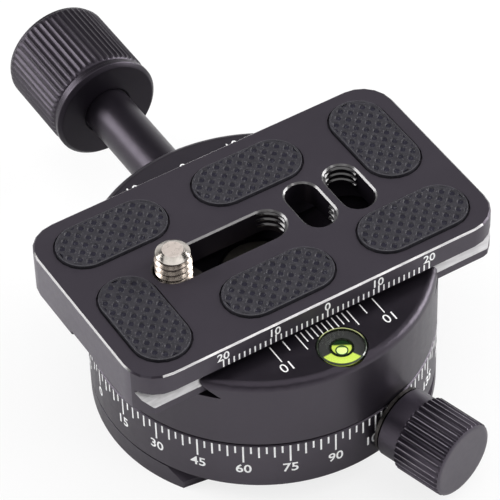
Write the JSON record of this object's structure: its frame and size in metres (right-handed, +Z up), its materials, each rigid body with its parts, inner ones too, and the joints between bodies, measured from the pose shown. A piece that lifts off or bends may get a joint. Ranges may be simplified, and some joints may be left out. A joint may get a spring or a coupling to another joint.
{
  "type": "panoramic tripod head",
  "caption": "Indexed panning tripod head: a dovetail clamp with screw knob, scale and round level turns on a lockable degree dial and holds a padded camera plate.",
  "frame": {"origin": "centre of the base's underside, on the turning axis, where the tripod's stud comes in", "axes": "+Z up along the turning axis; +X along the camera plate; +Y towards the clamp knob; the round level and the fixed jaw are at -Y"},
  "size_m": [0.0704, 0.1147, 0.0393],
  "materials": {
    "black_anodised": "satin black anodised",
    "knob_black": "satin black anodised, knurled",
    "lock_black": "satin black anodised, knurled",
    "steel": "turned",
    "dark_steel": "blackened",
    "brass": "turned",
    "rubber": "dimpled",
    "white_nylon": "matte",
    "clear_acrylic": "clear",
    "lime_liquid": "tinted liquid",
    "bubble": "air bubble"
  },
  "bodies": {
    "base": {"base_plate": "black_anodised", "dial_ring": "black_anodised", "tripod_bush": "steel", "pivot_bolt": "steel", "pivot_washer": "steel", "slip_washer": "white_nylon", "base_screw_1": "dark_steel", "base_screw_2": "dark_steel", "base_screw_3": "dark_steel", "base_screw_4": "dark_steel"},
    "clamp": {"clamp_body": "black_anodised", "level_vial": "clear_acrylic", "level_liquid": "lime_liquid", "level_bubble": "bubble", "level_seat": "white_nylon"},
    "jaw": {"moving_jaw": "black_anodised", "guide_pin_left": "steel", "guide_pin_right": "steel"},
    "clamp_knob": {"knob_grip": "knob_black", "knob_sleeve": "knob_black", "clamp_screw": "steel", "knob_washer": "steel"},
    "camera_plate": {"plate": "black_anodised", "pad_end_1": "rubber", "pad_end_2": "rubber", "pad_middle_1": "rubber", "pad_middle_2": "rubber", "pad_cross_1": "rubber", "pad_cross_2": "rubber"},
    "screw_carrier": {"screw_washer": "white_nylon"},
    "camera_screw": {"camera_screw": "steel"},
    "lock_plug": {"brake_plug": "brass"},
    "lock_knob": {"lock_knob": "lock_black", "lock_screw": "steel", "lock_washer": "brass"}
  },
  "joints": [
    {"name": "pan_rotation", "type": "hinge", "parent": "base", "child": "clamp", "pos_m": [0, 0, 0.0143], "axis": [0, 0, 1], "continuous": true},
    {"name": "jaw_slide", "type": "slide", "parent": "clamp", "child": "jaw", "axis": [0, 1, 0], "range_m": [0, 0.004]},
    {"name": "clamp_knob_turn", "type": "hinge", "parent": "jaw", "child": "clamp_knob", "pos_m": [0, 0.03, 0.0212], "axis": [0, 1, 0], "range_deg": [0, 1440]},
    {"name": "plate_slide", "type": "slide", "parent": "clamp", "child": "camera_plate", "axis": [1, 0, 0], "range_m": [-0.0207, 0.0193]},
    {"name": "camera_screw_slide", "type": "slide", "parent": "camera_plate", "child": "screw_carrier", "axis": [1, 0, 0], "range_m": [0, 0.0178]},
    {"name": "camera_screw_turn", "type": "hinge", "parent": "screw_carrier", "child": "camera_screw", "pos_m": [-0.01655, 0, 0.0296], "axis": [0, 0, 1], "continuous": true},
    {"name": "pan_lock_travel", "type": "slide", "parent": "base", "child": "lock_plug", "axis": [0.2823, -0.9593, 0], "range_m": [0, 0.0006]},
    {"name": "pan_lock_turn", "type": "hinge", "parent": "lock_plug", "child": "lock_knob", "pos_m": [0.00847, -0.02878, 0.0092], "axis": [0.2823, -0.9593, 0], "range_deg": [0, 270]}
  ],
  "couplings": [
    {"joint": "clamp_knob_turn", "follows": "jaw_slide", "rad_per_m": 6283.2},
    {"joint": "pan_lock_turn", "follows": "pan_lock_travel", "rad_per_m": 7853.9}
  ]
}
